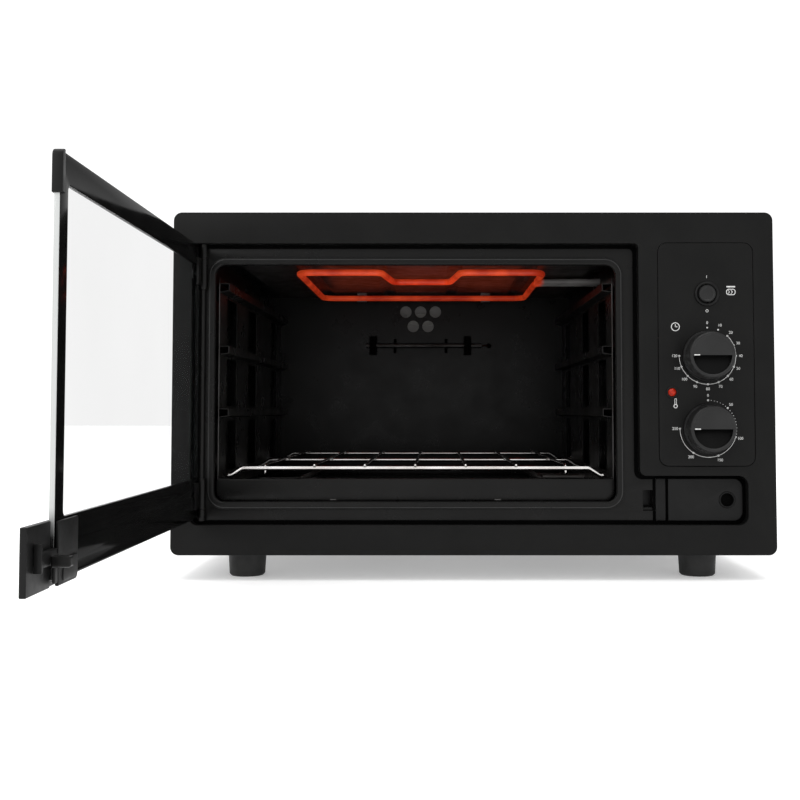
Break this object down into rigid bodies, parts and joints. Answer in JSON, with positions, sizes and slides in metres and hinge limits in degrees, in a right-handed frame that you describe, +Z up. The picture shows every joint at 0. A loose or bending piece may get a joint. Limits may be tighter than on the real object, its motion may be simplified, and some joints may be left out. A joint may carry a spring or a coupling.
{
  "type": "countertop grill oven",
  "caption": "Counter-top electric oven with a side-hinged glass door that stands open, a pull-out wire shelf and crumb tray, and turning controls at the right.",
  "frame": {"origin": "middle of the bounding box on the plane the feet stand on, with the door open at a right angle", "axes": "+X to the right as seen by the user, +Y to the back, away from the user, +Z up"},
  "size_m": [0.58, 0.9934, 0.3543],
  "materials": {
    "black_paint": "satin black powder coat",
    "control_print": "satin black with white screen print",
    "black_enamel": "glossy black vitreous enamel",
    "black_plastic": "fine-grained black heat-proof plastic",
    "zinc_steel": "galvanised sheet",
    "dark_steel": "steel darkened by heat",
    "chrome": "bright chrome-plated wire",
    "heating_tube": "heating tube glowing orange red, grey at its leads",
    "door_glass": "clear tempered glass with a black printed border",
    "ceramic": "matt white ceramic",
    "rubber": "matt black rubber",
    "red_lens": "translucent red lens, lit",
    "copper": "bare copper",
    "lamp_glass": "frosted bulb glass"
  },
  "bodies": {
    "housing": {"front_fascia": "black_paint", "outer_cover": "black_paint", "rear_cover": "black_paint", "control_panel": "control_print", "front_frame": "black_enamel", "cavity_rim": "black_enamel", "cavity_liner": "black_enamel", "side_liner_left": "black_enamel", "side_liner_right": "black_enamel", "hinge_bracket_upper": "black_enamel", "hinge_bracket_lower": "black_enamel", "bulb_clip_left": "black_enamel", "bulb_clip_right": "black_enamel", "well_bar": "black_plastic", "well_plate": "black_plastic", "button_bezel": "black_plastic", "power_switch": "black_plastic", "pilot_bezel": "black_plastic", "top_reflector": "dark_steel", "element_hook_left": "dark_steel", "element_hook_right": "dark_steel", "lower_element_rest": "dark_steel", "lamp_housing": "dark_steel", "catch_housing": "dark_steel", "hinge_rod": "dark_steel", "thermostat_bulb": "dark_steel", "base_plate": "zinc_steel", "partition_wall": "zinc_steel", "timer_unit": "zinc_steel", "thermostat_unit": "zinc_steel", "upper_element": "heating_tube", "lower_element": "heating_tube", "upper_element_bush": "ceramic", "lower_element_bush": "ceramic", "pilot_lamp": "ceramic", "foot_front_left": "rubber", "foot_front_right": "rubber", "foot_rear_left": "rubber", "foot_rear_right": "rubber", "cord_gland": "rubber", "pilot_lens": "red_lens", "thermostat_capillary": "copper", "oven_lamp": "lamp_glass"},
    "door": {"door_glass": "door_glass", "door_knuckle_upper": "black_enamel", "door_knuckle_lower": "black_enamel", "hinge_screw_upper": "black_plastic", "hinge_screw_lower": "black_plastic", "handle_grip": "black_plastic", "handle_clamp": "black_plastic", "handle_screw_upper": "zinc_steel", "handle_screw_lower": "zinc_steel", "latch_tongue": "dark_steel", "door_corner_cap": "black_plastic"},
    "shelf": {"wire_shelf": "chrome"},
    "tray": {"crumb_tray": "black_enamel"},
    "timer_dial": {"timer_knob": "black_plastic"},
    "temperature_dial": {"temperature_knob": "black_plastic"},
    "power_key": {"power_button": "black_plastic"},
    "catch_key": {"catch_roller": "dark_steel"}
  },
  "joints": [
    {"name": "door_hinge", "type": "hinge", "parent": "housing", "child": "door", "pos_m": [-0.2618, -0.03605, 0.19], "axis": [0, 0, 1], "range_deg": [0, 90]},
    {"name": "shelf_slide", "type": "slide", "parent": "housing", "child": "shelf", "axis": [0, 1, 0], "range_m": [-0.32, 0]},
    {"name": "tray_slide", "type": "slide", "parent": "housing", "child": "tray", "axis": [0, 1, 0], "range_m": [-0.3, 0]},
    {"name": "timer_turn", "type": "hinge", "parent": "housing", "child": "timer_dial", "pos_m": [0.2254, -0.04325, 0.215], "axis": [0, -1, 0], "range_deg": [0, 270]},
    {"name": "temperature_turn", "type": "hinge", "parent": "housing", "child": "temperature_dial", "pos_m": [0.2254, -0.04325, 0.145], "axis": [0, -1, 0], "range_deg": [0, 270]},
    {"name": "power_press", "type": "slide", "parent": "housing", "child": "power_key", "axis": [0, 1, 0], "range_m": [0, 0.003], "stiffness_N_per_m": 500},
    {"name": "catch_press", "type": "slide", "parent": "housing", "child": "catch_key", "axis": [0, 0, -1], "range_m": [0, 0.0025], "stiffness_N_per_m": 800}
  ]
}
